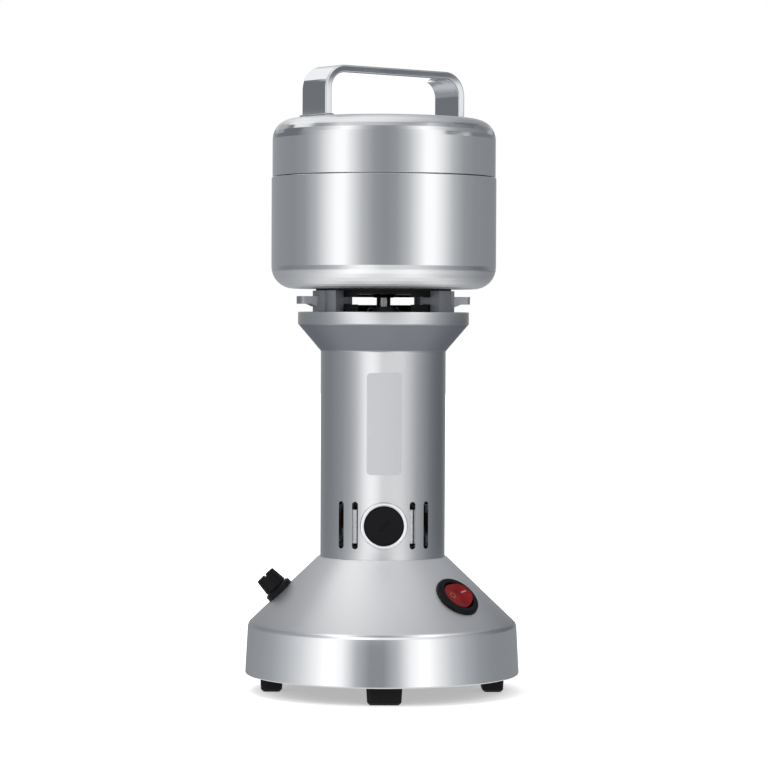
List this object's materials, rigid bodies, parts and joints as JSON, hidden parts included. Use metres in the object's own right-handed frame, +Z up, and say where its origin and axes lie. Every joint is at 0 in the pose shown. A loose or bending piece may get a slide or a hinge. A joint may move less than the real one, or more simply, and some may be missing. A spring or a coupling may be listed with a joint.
{
  "type": "electric grain mill",
  "caption": "Upright electric grain mill: conical base with rocker switch, bare metal motor column, open neck and a stainless bowl with blades under a lift-off lid.",
  "frame": {"origin": "centre of the base, on the surface that the four rubber feet stand on", "axes": "+Z up along the motor axis, the front with name plate and brush cap faces -Y, the rocker switch is towards +X"},
  "size_m": [0.137, 0.1368, 0.3105],
  "materials": {
    "spun_aluminium": "satin",
    "turned_aluminium": "satin",
    "cast_aluminium": "sand cast, matte",
    "polished_stainless": "polished, circular brush lines",
    "pressed_stainless": "satin",
    "mirror_stainless": "mirror polished",
    "bright_chrome": "bright",
    "ground_blade": "ground",
    "bearing_steel": "ground and polished",
    "screw_steel": "zinc plated",
    "spring_steel": "bright wire",
    "coated_steel": "black powder coat",
    "lamination_steel": "varnished laminations",
    "plate_metal": "matte lacquer",
    "copper": "turned",
    "enamelled_wire": "varnished",
    "brass": "bright",
    "carbon": "pressed carbon, matte",
    "black_plastic": "moulded, fine grain",
    "bakelite": "moulded",
    "red_lens": "translucent, glossy",
    "fuse_glass": "clear, metal caps",
    "black_rubber": "matte",
    "white_silicone": "matte"
  },
  "bodies": {
    "root": {"base_shell": "spun_aluminium", "bottom_plate": "coated_steel", "foot_front": "black_rubber", "foot_right": "black_rubber", "foot_back": "black_rubber", "foot_left": "black_rubber", "foot_screws": "screw_steel", "column_screws": "screw_steel", "switch_housing": "black_plastic", "switch_terminals": "brass", "fuse_holder": "black_plastic", "fuse_nut": "screw_steel", "cord_gland": "black_rubber", "motor_housing": "turned_aluminium", "name_plate": "plate_metal", "brush_ring_front": "bright_chrome", "brush_ring_rear": "bright_chrome", "brush_cap_front": "black_plastic", "brush_cap_rear": "black_plastic", "brush_holder_front": "bakelite", "brush_holder_rear": "bakelite", "brush_front": "carbon", "brush_rear": "carbon", "brush_spring_front": "spring_steel", "brush_spring_rear": "spring_steel", "lower_bracket": "cast_aluminium", "lower_bearing_outer": "bearing_steel", "lower_bearing_balls": "bearing_steel", "stator_core": "lamination_steel", "stator_coils": "enamelled_wire", "upper_bearing_outer": "bearing_steel", "upper_bearing_balls": "bearing_steel", "neck_frame": "cast_aluminium", "neck_screws": "screw_steel", "dust_ring": "black_rubber", "seal_carrier": "black_plastic", "bowl_gasket": "black_rubber", "bowl": "polished_stainless", "bowl_screws": "screw_steel", "lip_seal": "black_rubber", "bowl_collar": "pressed_stainless"},
    "rotor": {"shaft": "bearing_steel", "lower_bearing_inner": "bearing_steel", "upper_bearing_inner": "bearing_steel", "armature_core": "lamination_steel", "armature_winding": "enamelled_wire", "commutator": "copper", "fan": "black_plastic", "blade_lower": "ground_blade", "blade_upper": "ground_blade", "blade_spacer": "bearing_steel", "blade_washer": "bearing_steel", "blade_nut": "mirror_stainless"},
    "rocker": {"switch_rocker": "red_lens"},
    "fuse": {"fuse_link": "fuse_glass"},
    "fuse_cap": {"fuse_cap": "black_plastic"},
    "lid_seal": {"lid_gasket": "white_silicone"},
    "lid": {"lid_shell": "polished_stainless", "lid_liner": "pressed_stainless", "handle": "mirror_stainless"}
  },
  "joints": [
    {"name": "motor_spin", "type": "hinge", "parent": "root", "child": "rotor", "pos_m": [0, 0, 0.125], "axis": [0, 0, 1], "continuous": true},
    {"name": "switch_rock", "type": "hinge", "parent": "root", "child": "rocker", "pos_m": [0.03503, -0.03443, 0.04862], "axis": [-0.516, 0.507, 0.6904], "range_deg": [0, 18]},
    {"name": "fuse_pull", "type": "slide", "parent": "root", "child": "fuse", "axis": [-0.6904, 0, 0.7234], "range_m": [0, 0.03]},
    {"name": "fuse_cap_turn", "type": "hinge", "parent": "fuse", "child": "fuse_cap", "pos_m": [-0.05096, 0, 0.0495], "axis": [-0.6904, 0, 0.7234], "range_deg": [0, 90]},
    {"name": "lid_lift", "type": "slide", "parent": "root", "child": "lid_seal", "axis": [0, 0, 1], "range_m": [0, 0.06]},
    {"name": "lid_turn", "type": "hinge", "parent": "lid_seal", "child": "lid", "pos_m": [0, 0, 0.26], "axis": [0, 0, 1], "range_deg": [-44, 0]}
  ]
}
